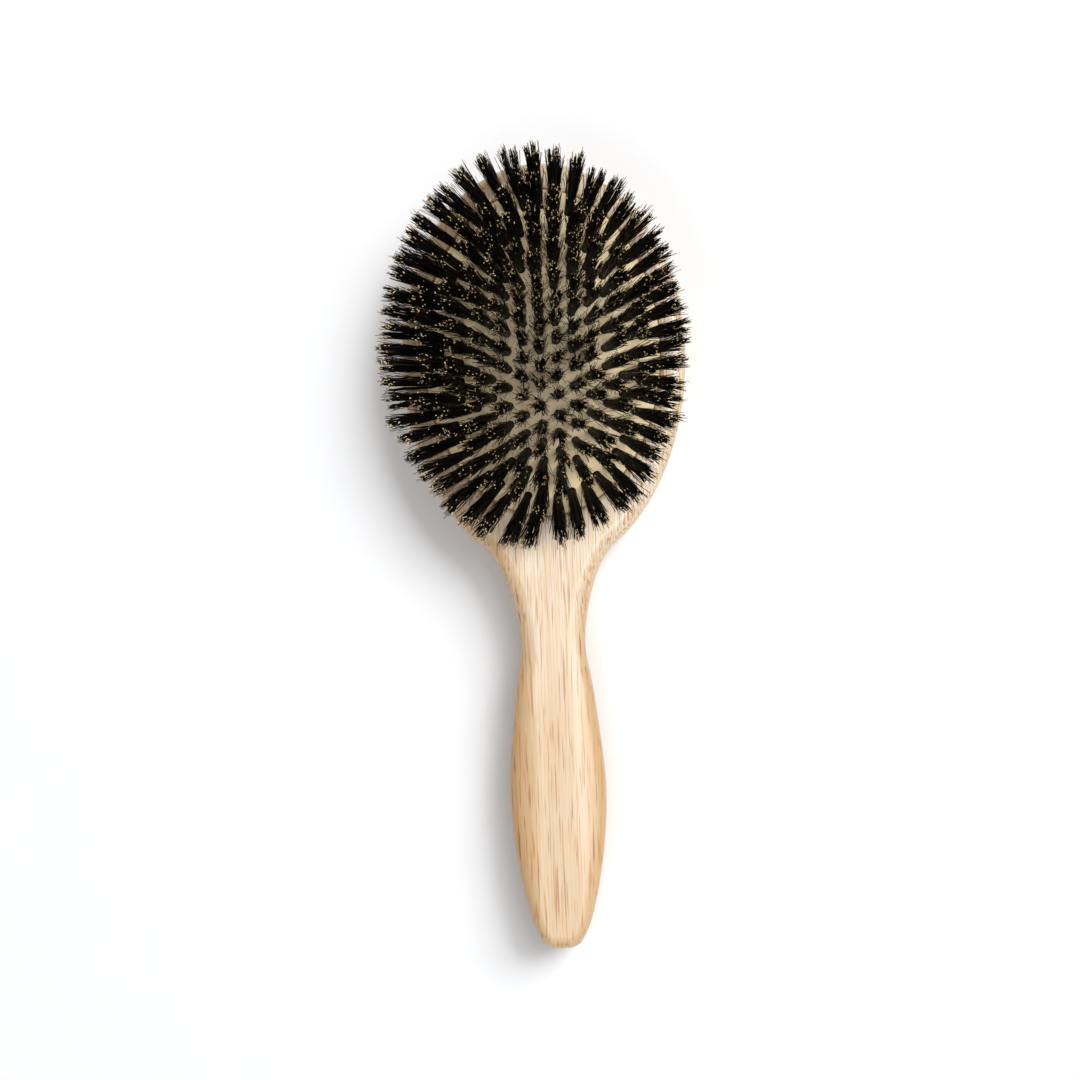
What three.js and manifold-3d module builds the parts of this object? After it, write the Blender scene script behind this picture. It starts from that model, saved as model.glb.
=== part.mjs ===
// An oval cushion hairbrush: a one-piece wooden body, a domed rubber cushion snapped into a pocket in its
// head, and tufts of bristle that stand through the cushion and are folded over wires beneath it.
// Millimetres. +Z is up, away from the back that the brush rests on; the head points along +Y. The origin
// lies at the level of the back, under the middle of the overall length.
import * as THREE from "three";
import { mergeVertices } from "three/addons/utils/BufferGeometryUtils.js";
import Module from "manifold-3d";

const wasm = await Module();
wasm.setup();

// ---- Driving dimensions ----
const HEAD_Y = 61.58; // centre of the oval head
const HEAD_HALF_WIDTH = 43.6;
const HEAD_TOP = 58; // from the head's centre to its crown
const HEAD_BOTTOM = 66; // lower half-axis of the oval, which the neck cuts off
const HEAD_END_ANGLE = -64; // degrees round the oval at which the neck begins
// Half widths of the neck and handle at distances from the head's centre, [x, y].
const HANDLE_OUTLINE = [
  [13.2, -70.5],
  [9.9, -88],
  [12.2, -105.7],
  [14.7, -132],
  [13.5, -152],
  [10.1, -170],
  [6.6, -179],
  [3.6, -181.7],
  [0, -182],
];
const HANDLE_END = -182;
const WOOD_THICKNESS = 18;
const NECK_Y = -88; // the slimmest place
const NECK_FACE_DROP = 1; // how far the upper face dips at the neck and stays down along the handle
const NECK_BACK_RISE = 2.5; // how far the back lifts at the neck
const END_BACK_RISE = 1.5; // and at the tip of the handle

// Elliptical rounding of the body's edges on the head, neck, grip and end. It makes the grip's face a crown.
const STATIONS = [-50, NECK_Y, -135, HANDLE_END];
const UPPER_EDGE_WIDTHS = [3.6, 4.2, 9.5, 3];
const UPPER_EDGE_HEIGHTS = [3.6, 4, 4.5, 3.5];
const BACK_EDGE_WIDTHS = [9, 6.5, 8, 3.2];
const BACK_EDGE_HEIGHTS = [8, 7, 7.5, 5];

const POCKET_HALF_WIDTH = 36.25;
const POCKET_HALF_LENGTH = 50;
const POCKET_FLOOR = 8.5; // low enough for the liner to sink by the 3 mm that the cushion gives
const FLOOR_FILLET = 1.5;
const RIM_CHAMFER = 0.8;
const GROOVE_DEPTH = 1.6; // the undercut that holds the cushion's bead
const GROOVE_LOW = 13.5;
const GROOVE_HIGH = 16;

const DOME_RISE = 8; // crown of the cushion above the wooden rim
const DOME_POWER = 2.6; // over 2, so the dome is flat in the middle and rolls over at its edge
const MEMBRANE = 1.8;
const BEAD_INSET = 2.2; // how far the cushion's inner wall stands inside the pocket's wall
const GAP = 0.3; // between pieces that touch
const OVAL_SEGMENTS = 28;
const DOME_STEPS = 5;

const RING_TUFTS = 52; // a multiple of four, for four equal arcs
const RING_PHASE = 0.78; // of the spacing, from the +X axis to the ring's first tuft
const RING_HALF_WIDTH = 30.6;
const RING_HALF_LENGTH = 44.3;
const RING_CLEARANCE = 4.2; // from the ring to the rows inside it
const ROW_PITCH = 4.9;
const TUFT_PITCH = 5.5; // along a row; neighbouring rows are staggered by half of it
const TUFT_LENGTH = 25; // free length above the cushion
const TUFT_BASE_RADIUS = 1.25;
const TUFT_TIP_RADIUS = 2.2;
const TUFT_SIDES = 4;
const LEAN_LINEAR = 10; // degrees of outward lean on the ring, in two parts: one grows evenly from the middle
const LEAN_CURVED = 21; // and one grows towards the edge
const LEAN_POWER = 2.6;

const FOLD_WIDTH = 3; // the band of bristle folded over a wire
const FOLD_THICKNESS = 1.2;
const FOLD_OVERHANG = 1.6; // how far a band runs past the middle of its last tuft
const WIRE_RADIUS = 0.5;
const LINER_THICKNESS = 0.8;
const LINER_REACH = 0.91; // of the pocket's half axes

// ---- Colours and finishes ----
const finish = (color, roughness, metalness = 0) =>
  new THREE.MeshStandardMaterial({ color, roughness, metalness });
const WOOD = finish(0xe3c39c, 0.35);
const RUBBER = finish(0xc3b08c, 0.7);
const BRISTLE = finish(0x17130f, 0.5);
const WIRE = finish(0xa8a49c, 0.35, 1);
const LINER = finish(0x8c7a5e, 0.9);

// ---- Solids from geometry ----
function toSolid(geometry) {
  const bare = geometry.clone();
  bare.deleteAttribute("normal");
  bare.deleteAttribute("uv");
  const merged = mergeVertices(bare, 1e-4);
  return new wasm.Manifold(
    new wasm.Mesh({
      numProp: 3,
      vertProperties: merged.attributes.position.array,
      triVerts: new Uint32Array(merged.index.array),
    }),
  );
}

function toGeometry(solid) {
  const mesh = solid.getMesh();
  const geometry = new THREE.BufferGeometry();
  geometry.setAttribute("position", new THREE.BufferAttribute(mesh.vertProperties, 3));
  geometry.setIndex(new THREE.BufferAttribute(mesh.triVerts, 1));
  geometry.computeVertexNormals();
  return geometry;
}

// A closed loft through loops of the same number of points. Each cap is given as triangles of indices.
function loft(loops, capTriangles) {
  const size = loops[0].length;
  const positions = loops.flat().flatMap((p) => [p.x, p.y, p.z]);
  const index = [];
  for (let k = 0; k + 1 < loops.length; k++) {
    for (let i = 0; i < size; i++) {
      const a = k * size + i;
      const b = k * size + ((i + 1) % size);
      index.push(a, b, b + size, a, b + size, a + size);
    }
  }
  const last = (loops.length - 1) * size;
  for (const [a, b, c] of capTriangles) {
    index.push(a, c, b);
    index.push(last + a, last + b, last + c);
  }
  const geometry = new THREE.BufferGeometry();
  geometry.setAttribute("position", new THREE.Float32BufferAttribute(positions, 3));
  geometry.setIndex(index);
  return geometry;
}

// ---- The wooden body ----
const smooth = THREE.MathUtils.smoothstep;
const lerp = THREE.MathUtils.lerp;

function upperFace(y) {
  return WOOD_THICKNESS - NECK_FACE_DROP * smooth(-y, -NECK_Y - 30, -NECK_Y);
}

function backFace(y) {
  const neck = smooth(-y, -NECK_Y - 40, -NECK_Y) * (1 - smooth(-y, -NECK_Y, -NECK_Y + 42));
  return NECK_BACK_RISE * neck + END_BACK_RISE * smooth(-y, -HANDLE_END - 30, -HANDLE_END);
}

// A size given at each station, with a smooth change between them.
function alongBody(y, sizes) {
  let size = sizes[0];
  for (let i = 1; i < STATIONS.length; i++) {
    size = lerp(size, sizes[i], smooth(-y, -STATIONS[i - 1], -STATIONS[i]));
  }
  return size;
}

// The plan of the body from crown to handle end, on the +X side, from the head's centre.
function halfOutline() {
  const points = [];
  const steps = 26;
  for (let i = 0; i <= steps; i++) {
    const a = THREE.MathUtils.degToRad(90 + ((HEAD_END_ANGLE - 90) * i) / steps);
    const reach = a > 0 ? HEAD_TOP : HEAD_BOTTOM;
    points.push(new THREE.Vector2(HEAD_HALF_WIDTH * Math.cos(a), reach * Math.sin(a)));
  }
  points[0].x = 0;
  // The first guide point only sets the direction in which the spline leaves the oval.
  const handle = HANDLE_OUTLINE.map(([x, y]) => new THREE.Vector2(x, y));
  const guides = [points[steps - 3], points[steps], ...handle];
  const spline = new THREE.SplineCurve(guides);
  const spans = guides.length - 1;
  const stepsPerSpan = 4;
  for (let i = 1; i <= (spans - 1) * stepsPerSpan; i++) {
    points.push(spline.getPoint((1 + i / stepsPerSpan) / spans));
  }
  points[points.length - 1].x = 0;
  return points;
}

function insetLoop(outline, edge) {
  const count = outline.length;
  return outline.map((p, i) => {
    const before = outline[(i + count - 1) % count];
    const after = outline[(i + 1) % count];
    const inward = new THREE.Vector2(before.y - after.y, after.x - before.x).normalize();
    const { inset, z } = edge(p.y);
    const q = p.clone().addScaledVector(inward, inset);
    return new THREE.Vector3(q.x, HEAD_Y + q.y, z);
  });
}

function woodBlank() {
  const right = halfOutline();
  const left = right.map((p) => new THREE.Vector2(-p.x, p.y));
  const outline = [...left, ...right.slice(1, -1).reverse()];
  const steps = [90, 60, 30, 0].map(THREE.MathUtils.degToRad);
  const loops = [];
  for (const turn of steps) {
    loops.push(insetLoop(outline, (y) => ({
      inset: alongBody(y, BACK_EDGE_WIDTHS) * (1 - Math.cos(turn)),
      z: backFace(y) + alongBody(y, BACK_EDGE_HEIGHTS) * (1 - Math.sin(turn)),
    })));
  }
  for (const turn of steps.toReversed()) {
    loops.push(insetLoop(outline, (y) => ({
      inset: alongBody(y, UPPER_EDGE_WIDTHS) * (1 - Math.cos(turn)),
      z: upperFace(y) - alongBody(y, UPPER_EDGE_HEIGHTS) * (1 - Math.sin(turn)),
    })));
  }
  // Each cap is a ladder of triangles between the two sides.
  const far = right.length - 1;
  const around = outline.length;
  const cap = [[0, 1, around - 1]];
  for (let i = 1; i + 1 < far; i++) {
    cap.push([i, i + 1, around - i - 1], [i, around - i - 1, around - i]);
  }
  cap.push([far - 1, far, far + 1]);
  return toSolid(loft(loops, cap));
}

// A body of revolution about Z from [radius, z] points, stretched along Y to the pocket's oval.
function ovalTurned(profile) {
  const points = profile.map(([r, z]) => new THREE.Vector2(r, z));
  const geometry = new THREE.LatheGeometry(points, OVAL_SEGMENTS);
  geometry.rotateX(Math.PI / 2);
  geometry.scale(1, POCKET_HALF_LENGTH / POCKET_HALF_WIDTH, 1);
  geometry.translate(0, HEAD_Y, 0);
  return toSolid(geometry);
}

function pocket() {
  const r = POCKET_HALF_WIDTH;
  const above = WOOD_THICKNESS + 2;
  return ovalTurned([
    [0, POCKET_FLOOR],
    [r - FLOOR_FILLET, POCKET_FLOOR],
    [r, POCKET_FLOOR + FLOOR_FILLET],
    [r, GROOVE_LOW],
    [r + GROOVE_DEPTH, GROOVE_LOW],
    [r + GROOVE_DEPTH, GROOVE_HIGH],
    [r, GROOVE_HIGH],
    [r, WOOD_THICKNESS - RIM_CHAMFER],
    [r + RIM_CHAMFER, WOOD_THICKNESS],
    [r + RIM_CHAMFER, above],
    [0, above],
  ]);
}

function handleBody() {
  return woodBlank().subtract(pocket());
}

// ---- The cushion's dome ----
const ovalRadius = (x, y) => Math.hypot(x / POCKET_HALF_WIDTH, y / POCKET_HALF_LENGTH);
const domeHeight = (reach) => WOOD_THICKNESS + DOME_RISE * (1 - reach ** DOME_POWER);
// Slope of the dome across its narrow axis, where it is steepest.
const domeSlope = (reach) => (DOME_RISE * DOME_POWER * reach ** (DOME_POWER - 1)) / POCKET_HALF_WIDTH;

function domePoint(x, y) {
  return new THREE.Vector3(x, y, domeHeight(ovalRadius(x, y)));
}

function domeNormal(x, y) {
  const reach = Math.max(ovalRadius(x, y), 1e-6);
  const fall = DOME_RISE * DOME_POWER * reach ** (DOME_POWER - 2);
  return new THREE.Vector3(
    (fall * x) / POCKET_HALF_WIDTH ** 2,
    (fall * y) / POCKET_HALF_LENGTH ** 2,
    1,
  ).normalize();
}

// ---- Where the tufts stand ----
function ringPoint(turn) {
  return new THREE.Vector2(RING_HALF_WIDTH * Math.cos(turn), RING_HALF_LENGTH * Math.sin(turn));
}

// Angles that space the ring's tufts evenly along its length.
function ringAngles() {
  const oval = new THREE.EllipseCurve(0, 0, RING_HALF_WIDTH, RING_HALF_LENGTH, 0, 2 * Math.PI);
  oval.arcLengthDivisions = 2000;
  const angles = [];
  for (let i = 0; i < RING_TUFTS; i++) {
    angles.push(2 * Math.PI * oval.getUtoTmapping((i + RING_PHASE) / RING_TUFTS));
  }
  return angles;
}

// Each row runs lengthwise: { x, ys }. Odd rows are shifted by half a pitch.
function tuftRows() {
  const halfWidth = RING_HALF_WIDTH - RING_CLEARANCE;
  const halfLength = RING_HALF_LENGTH - RING_CLEARANCE;
  const side = Math.floor(halfWidth / ROW_PITCH);
  const rows = [];
  for (let i = -side; i <= side; i++) {
    const x = i * ROW_PITCH;
    const reach = halfLength * Math.sqrt(1 - (x / halfWidth) ** 2);
    const shift = i % 2 ? 0.5 : 0;
    const ys = [];
    for (let j = Math.ceil(-reach / TUFT_PITCH - shift); (j + shift) * TUFT_PITCH <= reach; j++) {
      ys.push((j + shift) * TUFT_PITCH);
    }
    rows.push({ x, ys });
  }
  return rows;
}

// The direction in which a tuft stands: upright in the middle, leaning outwards towards the ring.
function tuftDirection(x, y) {
  const reach = Math.hypot(x / RING_HALF_WIDTH, y / RING_HALF_LENGTH);
  const lean = THREE.MathUtils.degToRad(LEAN_LINEAR * reach + LEAN_CURVED * reach ** LEAN_POWER);
  const out = new THREE.Vector2(x / RING_HALF_WIDTH ** 2, y / RING_HALF_LENGTH ** 2);
  if (out.length() > 0) out.normalize();
  return new THREE.Vector3(out.x * Math.sin(lean), out.y * Math.sin(lean), Math.cos(lean));
}

// A tapered peg along a tuft's direction, from a depth under the dome to a height over it.
function peg(x, y, depth, height, extraRadius) {
  const direction = tuftDirection(x, y);
  const full = TUFT_LENGTH + FOLD_DEPTH;
  const radiusAt = (s) => extraRadius + lerp(TUFT_BASE_RADIUS, TUFT_TIP_RADIUS, (s + FOLD_DEPTH) / full);
  const length = depth + height;
  const geometry = new THREE.CylinderGeometry(radiusAt(height), radiusAt(-depth), length, TUFT_SIDES);
  geometry.translate(0, length / 2 - depth, 0);
  geometry.applyQuaternion(new THREE.Quaternion().setFromUnitVectors(new THREE.Vector3(0, 1, 0), direction));
  const foot = domePoint(x, y);
  geometry.translate(foot.x, HEAD_Y + foot.y, foot.z);
  return toSolid(geometry);
}

// ---- What lies in layers under the dome ----
const FOLD_DEPTH = MEMBRANE + GAP + FOLD_THICKNESS / 2; // to the middle of the folded bands
const WIRE_DEPTH = FOLD_DEPTH + FOLD_THICKNESS / 2 + GAP + WIRE_RADIUS;
const LINER_DEPTH = WIRE_DEPTH + WIRE_RADIUS + GAP;

// A bar that follows plan points at a depth under the dome. section holds [across, up] offsets.
function bar(plan, depth, section) {
  const loops = plan.map((p, i) => {
    const before = plan[Math.max(i - 1, 0)];
    const after = plan[Math.min(i + 1, plan.length - 1)];
    const up = domeNormal(p.x, p.y);
    const along = new THREE.Vector3(after.x - before.x, after.y - before.y, 0).normalize();
    const across = new THREE.Vector3().crossVectors(along, up).normalize();
    const middle = domePoint(p.x, p.y).addScaledVector(up, -depth);
    middle.y += HEAD_Y;
    return section.map(([u, v]) => middle.clone().addScaledVector(across, u).addScaledVector(up, v));
  });
  const cap = [];
  for (let i = 1; i + 1 < section.length; i++) cap.push([0, i, i + 1]);
  return toSolid(loft(loops, cap));
}

const BAND_SECTION = [
  [-FOLD_WIDTH / 2, -FOLD_THICKNESS / 2],
  [-FOLD_WIDTH / 2, FOLD_THICKNESS / 2],
  [FOLD_WIDTH / 2, FOLD_THICKNESS / 2],
  [FOLD_WIDTH / 2, -FOLD_THICKNESS / 2],
];
const WIRE_SECTION = [0, 1, 2, 3, 4].map((i) => [
  WIRE_RADIUS * Math.sin((2 * Math.PI * i) / 5),
  WIRE_RADIUS * Math.cos((2 * Math.PI * i) / 5),
]);

// Plan points along a row, a little past its last tufts, and along one quarter of the ring.
function rowPlan({ x, ys }) {
  const low = ys[0] - FOLD_OVERHANG;
  const high = ys[ys.length - 1] + FOLD_OVERHANG;
  const steps = Math.max(2, Math.round((high - low) / 10));
  return Array.from({ length: steps + 1 }, (_, i) => new THREE.Vector2(x, lerp(low, high, i / steps)));
}

function arcPlan(angles) {
  const spacing = angles[1] - angles[0];
  const low = angles[0] - spacing * 0.35;
  const high = angles[angles.length - 1] + (angles[angles.length - 1] - angles[angles.length - 2]) * 0.35;
  const steps = 9;
  return Array.from({ length: steps + 1 }, (_, i) => ringPoint(lerp(low, high, i / steps)));
}

function tuftGroup(plan, feet) {
  const pegs = feet.map((p) => peg(p.x, p.y, FOLD_DEPTH, TUFT_LENGTH, 0));
  return pegs.reduce((sum, one) => sum.add(one), bar(plan, FOLD_DEPTH, BAND_SECTION));
}

const drawingWire = (plan) => bar(plan, WIRE_DEPTH, WIRE_SECTION);

// ---- The rubber cushion and the liner ----
function cushionShell() {
  const outer = POCKET_HALF_WIDTH - GAP;
  const inner = POCKET_HALF_WIDTH - BEAD_INSET;
  const bead = POCKET_HALF_WIDTH + GROOVE_DEPTH - GAP;
  // Closer together towards the rim, where the dome curves most.
  const reaches = Array.from({ length: DOME_STEPS + 1 }, (_, i) => (i / DOME_STEPS) ** 0.8);
  const above = reaches.map((s) => [outer * s, domeHeight(s)]);
  const under = reaches.map((s) => [inner * s, domeHeight((s * inner) / POCKET_HALF_WIDTH) - MEMBRANE]);
  return ovalTurned([
    ...under,
    [inner, GROOVE_LOW + GAP],
    [bead, GROOVE_LOW + GAP],
    [bead, GROOVE_HIGH - GAP],
    [outer, GROOVE_HIGH - GAP],
    ...above.toReversed(),
  ]);
}

function rubberCushion(feet) {
  const holes = feet.map((p) => peg(p.x, p.y, MEMBRANE + 1, 1, GAP));
  return holes.reduce((shell, hole) => shell.subtract(hole), cushionShell());
}

function backingLiner() {
  const steps = 4;
  const above = [];
  for (let i = 0; i <= steps; i++) {
    const reach = (LINER_REACH * i) / steps;
    above.push([
      POCKET_HALF_WIDTH * reach,
      domeHeight(reach) - LINER_DEPTH * Math.hypot(1, domeSlope(reach)),
    ]);
  }
  const under = above.map(([r, z]) => [r, z - LINER_THICKNESS]);
  return ovalTurned([...under, ...above.toReversed()]);
}

// ---- Assembly ----
const brush = new THREE.Group();

function place(name, solid, material) {
  const mesh = new THREE.Mesh(toGeometry(solid), material);
  mesh.name = name;
  brush.add(mesh);
}

const rows = tuftRows();
const rowFeet = rows.map(({ x, ys }) => ys.map((y) => new THREE.Vector2(x, y)));
const angles = ringAngles();
const perArc = RING_TUFTS / 4;
const arcs = ["top_right", "top_left", "bottom_left", "bottom_right"].map((name, i) => {
  const turns = angles.slice(i * perArc, (i + 1) * perArc);
  return { name, plan: arcPlan(turns), feet: turns.map(ringPoint) };
});
const allFeet = [...rowFeet.flat(), ...arcs.flatMap((arc) => arc.feet)];

place("handle_body", handleBody(), WOOD);
place("rubber_cushion", rubberCushion(allFeet), RUBBER);
place("backing_liner", backingLiner(), LINER);
rows.forEach((row, i) => {
  const number = String(i + 1).padStart(2, "0");
  place(`tuft_row_${number}`, tuftGroup(rowPlan(row), rowFeet[i]), BRISTLE);
  place(`drawing_wire_${number}`, drawingWire(rowPlan(row)), WIRE);
});
for (const arc of arcs) {
  place(`tuft_arc_${arc.name}`, tuftGroup(arc.plan, arc.feet), BRISTLE);
  place(`drawing_wire_${arc.name}`, drawingWire(arc.plan), WIRE);
}

export default brush;
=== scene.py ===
import math

import bpy
import numpy as np
from mathutils import Matrix, Vector


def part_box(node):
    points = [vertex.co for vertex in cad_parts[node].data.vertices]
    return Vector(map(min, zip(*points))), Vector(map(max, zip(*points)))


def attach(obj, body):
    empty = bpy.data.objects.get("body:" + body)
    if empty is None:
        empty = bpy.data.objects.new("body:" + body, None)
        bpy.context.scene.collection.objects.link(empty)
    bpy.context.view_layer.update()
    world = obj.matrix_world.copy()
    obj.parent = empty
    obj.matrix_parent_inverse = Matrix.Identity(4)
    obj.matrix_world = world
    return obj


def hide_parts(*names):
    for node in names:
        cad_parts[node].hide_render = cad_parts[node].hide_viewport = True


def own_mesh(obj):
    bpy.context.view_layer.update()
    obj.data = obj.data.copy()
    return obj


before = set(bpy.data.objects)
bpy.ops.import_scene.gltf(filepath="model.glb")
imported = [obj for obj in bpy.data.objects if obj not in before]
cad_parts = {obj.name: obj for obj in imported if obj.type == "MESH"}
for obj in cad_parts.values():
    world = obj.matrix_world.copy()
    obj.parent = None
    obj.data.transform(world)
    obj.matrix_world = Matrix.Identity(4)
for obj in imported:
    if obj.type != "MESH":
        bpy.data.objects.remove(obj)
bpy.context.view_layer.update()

# An oval cushion hairbrush that lies on its back with its bristles up. Metres; its head points along +Y.
# Shapes are worked out in millimetres about the head's centre and turned into metres in the row frame.
BODY = "brush_body"
FIELD = "tuft_field"
MM = 0.001

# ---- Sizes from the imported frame, in millimetres ----
WOOD_LOW, WOOD_HIGH = (np.array(corner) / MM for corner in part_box("handle_body"))
RUBBER_LOW, RUBBER_HIGH = (np.array(corner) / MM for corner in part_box("rubber_cushion"))
HEAD_TOP = 58.0
HEAD_Y = WOOD_HIGH[1] - HEAD_TOP  # the head's centre in the row frame
HEAD_HALF_WIDTH = WOOD_HIGH[0]
HANDLE_END = WOOD_LOW[1] - HEAD_Y
WOOD_TOP = WOOD_HIGH[2]
DOME_RISE = RUBBER_HIGH[2] - WOOD_TOP
BEAD_LOW = RUBBER_LOW[2]

# ---- The wooden body's shape ----
HEAD_BOTTOM = 66.0
HEAD_END_ANGLE = -64.0
HANDLE_OUTLINE = [
    (13.2, -70.5), (9.9, -88.0), (12.2, -105.7), (14.7, -132.0), (13.5, -152.0),
    (10.1, -170.0), (6.6, -179.0), (3.6, -181.7), (0.0, HANDLE_END),
]
NECK_Y = -88.0
STATIONS = (-50.0, NECK_Y, -135.0, HANDLE_END)
UPPER_EDGE_WIDTHS = (4.2, 5.2, 10.0, 3.4)
UPPER_EDGE_HEIGHTS = (3.6, 4.0, 4.5, 3.5)
BACK_EDGE_WIDTHS = (9.0, 6.5, 8.0, 3.2)
BACK_EDGE_HEIGHTS = (8.0, 7.0, 7.5, 5.0)
NECK_FACE_DROP = 1.0
NECK_BACK_RISE = 2.5
END_BACK_RISE = 1.5

# ---- The pocket, the cushion's dome and the tuft field ----
POCKET = np.array([36.25, 50.0])  # half axes of the opening
POCKET_FLOOR = 8.5
GROOVE_DEPTH = 1.6
GROOVE_LOW = BEAD_LOW - 0.3
GROOVE_HIGH = 16.0
LIP_RADIUS = 0.9
DOME_POWER = 2.6
MEMBRANE = 1.8
RING_TUFTS = 52
RING_PHASE = 0.78
RING = np.array([30.6, 44.3])
RING_CLEARANCE = 4.2
ROW_PITCH = 4.9
TUFT_PITCH = 5.5
TUFT_LENGTH = 25.0
LEAN_LINEAR = 5.5
LEAN_CURVED = 26.5
LEAN_POWER = 2.4
SWAY = 3.2  # by which the middle tufts have settled to the right, in degrees
FOLD_OVERHANG = 1.6
WIRE_RADIUS = 0.5
WIRE_DEPTH = 4.1
LINER_DEPTH = 4.9
LINER_THICKNESS = 0.8
LINER_REACH = 0.91
HOLE_RADIUS = 1.35
HOLE_SIDES = 14


def in_frame(points):
    """Millimetres about the head's centre to metres in the row frame."""
    return (np.asarray(points, float) + (0.0, HEAD_Y, 0.0)) * MM


def smoothstep(x, low, high):
    t = np.clip((x - low) / (high - low), 0.0, 1.0)
    return t * t * (3.0 - 2.0 * t)


# ---- Meshes ----
def add_mesh(name, vertices, faces, materials, smooth=True):
    """A new object from arrays; faces is an array of quads or triangles, or a list of such arrays."""
    faces = [faces] if isinstance(faces, np.ndarray) else faces
    loops = np.concatenate([f.ravel() for f in faces]).astype(np.int32)
    counts = np.concatenate([np.full(len(f), f.shape[1]) for f in faces]).astype(np.int32)
    starts = np.concatenate([[0], np.cumsum(counts)[:-1]]).astype(np.int32)
    mesh = bpy.data.meshes.new(name)
    mesh.vertices.add(len(vertices))
    mesh.vertices.foreach_set("co", np.asarray(vertices, np.float32).ravel())
    mesh.loops.add(len(loops))
    mesh.loops.foreach_set("vertex_index", loops)
    mesh.polygons.add(len(counts))
    mesh.polygons.foreach_set("loop_start", starts)
    mesh.update(calc_edges=True)
    mesh.validate()
    mesh.polygons.foreach_set("use_smooth", np.full(len(mesh.polygons), smooth))
    for material in materials:
        mesh.materials.append(material)
    piece = bpy.data.objects.new(name, mesh)
    bpy.context.scene.collection.objects.link(piece)
    return piece


def loop_faces(rings, size, first=0):
    """Quads between successive closed rings of the same size."""
    k, i = np.meshgrid(np.arange(rings - 1), np.arange(size), indexing="ij")
    a = first + k * size + i
    b = first + k * size + (i + 1) % size
    return np.stack([a, b, b + size, a + size], -1).reshape(-1, 4)


def apply_modifiers(piece):
    """Bakes the piece's modifiers into its mesh."""
    graph = bpy.context.evaluated_depsgraph_get()
    mesh = bpy.data.meshes.new_from_object(piece.evaluated_get(graph), depsgraph=graph)
    old = piece.data
    piece.modifiers.clear()
    piece.data = mesh
    bpy.data.meshes.remove(old)


def cut(piece, cutter):
    boolean = piece.modifiers.new("cut", "BOOLEAN")
    boolean.operation = "DIFFERENCE"
    boolean.solver = "EXACT"
    boolean.object = cutter
    apply_modifiers(piece)
    bpy.data.objects.remove(cutter)


def set_shading(piece, angle):
    """Smooth shading that keeps flat faces flat and edges over the angle sharp."""
    mesh = piece.data
    mesh.polygons.foreach_set("use_smooth", np.full(len(mesh.polygons), True))
    mesh.set_sharp_from_angle(angle=math.radians(angle))
    weighted = piece.modifiers.new("normals", "WEIGHTED_NORMAL")
    weighted.keep_sharp = True


def oval_turned(name, profile, segments, materials, closed=False):
    """A body of revolution from (radius, z) points, stretched along Y to the pocket's oval.
    A profile that isn't closed starts and ends on the axis."""
    profile = np.asarray(profile, float)
    turn = 2 * np.pi * np.arange(segments) / segments
    stretch = POCKET[1] / POCKET[0]
    rings = profile if closed else profile[1:-1]
    x = rings[:, :1] * np.cos(turn)
    y = rings[:, :1] * np.sin(turn) * stretch
    z = np.repeat(rings[:, 1:], segments, 1)
    vertices = np.stack([x, y, z], -1).reshape(-1, 3)
    count = len(rings)
    faces = [loop_faces(count, segments)]
    i = np.arange(segments)
    j = (i + 1) % segments
    if closed:
        last = (count - 1) * segments
        faces.append(np.stack([last + i, last + j, j, i], -1))
    else:
        poles = [(0, 0, profile[0, 1]), (0, 0, profile[-1, 1])]
        vertices = np.concatenate([vertices, poles])
        low, high = len(vertices) - 2, len(vertices) - 1
        last = (count - 1) * segments
        faces.append(np.stack([np.full(segments, low), j, i], -1))
        faces.append(np.stack([last + i, last + j, np.full(segments, high)], -1))
    return add_mesh(name, in_frame(vertices), faces, materials)


# ---- The wooden body ----
def along_body(y, sizes):
    size = np.full_like(y, sizes[0])
    for i in range(1, len(STATIONS)):
        size = size + (sizes[i] - size) * smoothstep(-y, -STATIONS[i - 1], -STATIONS[i])
    return size


def upper_face(y):
    return WOOD_TOP - NECK_FACE_DROP * smoothstep(-y, -NECK_Y - 30, -NECK_Y)


def back_face(y):
    neck = smoothstep(-y, -NECK_Y - 40, -NECK_Y) * (1 - smoothstep(-y, -NECK_Y, -NECK_Y + 42))
    return NECK_BACK_RISE * neck + END_BACK_RISE * smoothstep(-y, -HANDLE_END - 30, -HANDLE_END)


def spline(points, per_span):
    """A uniform Catmull-Rom spline through the points, from the second one on."""
    points = np.asarray(points, float)
    result = []
    for i in range(1, len(points) - 1):
        p0, p1, p2 = points[i - 1], points[i], points[i + 1]
        p3 = points[min(i + 2, len(points) - 1)]
        for t in np.arange(1, per_span + 1)[:, None] / per_span:
            m1, m2 = (p2 - p0) / 2, (p3 - p1) / 2
            result.append(
                (2 * p1 - 2 * p2 + m1 + m2) * t**3 + (3 * p2 - 3 * p1 - 2 * m1 - m2) * t**2 + m1 * t + p1
            )
    return np.array(result).reshape(-1, 2)


def half_outline():
    steps = 130
    angle = np.radians(np.linspace(90, HEAD_END_ANGLE, steps + 1))
    reach = np.where(angle > 0, HEAD_TOP, HEAD_BOTTOM)
    oval = np.stack([HEAD_HALF_WIDTH * np.cos(angle), reach * np.sin(angle)], -1)
    oval[0, 0] = 0.0
    leave = oval[-1 - 3 * steps // 26]
    handle = spline([leave, oval[-1], *HANDLE_OUTLINE], 22)
    handle[-1, 0] = 0.0
    return np.concatenate([oval, handle])


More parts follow.
